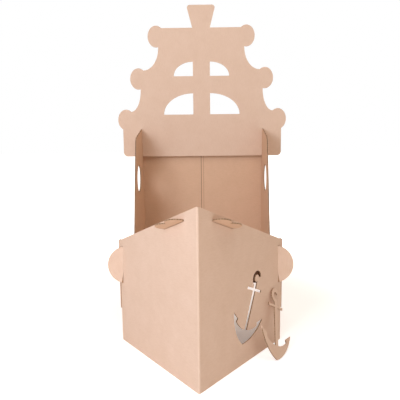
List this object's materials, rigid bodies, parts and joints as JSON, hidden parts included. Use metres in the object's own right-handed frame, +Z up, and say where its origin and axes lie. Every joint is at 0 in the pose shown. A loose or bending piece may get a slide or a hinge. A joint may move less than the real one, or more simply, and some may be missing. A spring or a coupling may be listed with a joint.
{
  "type": "cardboard ship playhouse",
  "caption": "Bottomless play ship of folded and slotted corrugated board: pointed bow with a deck, open hull with portholes, tall stern with a sail panel, and a loose anchor.",
  "frame": {"origin": "on the floor, under the middle of the ship's length and width", "axes": "+X to starboard, the side with the anchor; +Y from the bow to the stern; +Z up, along the sail"},
  "size_m": [0.779, 1.145, 1.271],
  "materials": {
    "kraft_board": "matte brown kraft paper on corrugated board"
  },
  "bodies": {
    "root": {"bow_hull": "kraft_board", "stern_hull": "kraft_board", "spreader": "kraft_board", "bow_deck": "kraft_board", "sail_panel": "kraft_board", "anchor": "kraft_board"}
  },
  "joints": []
}
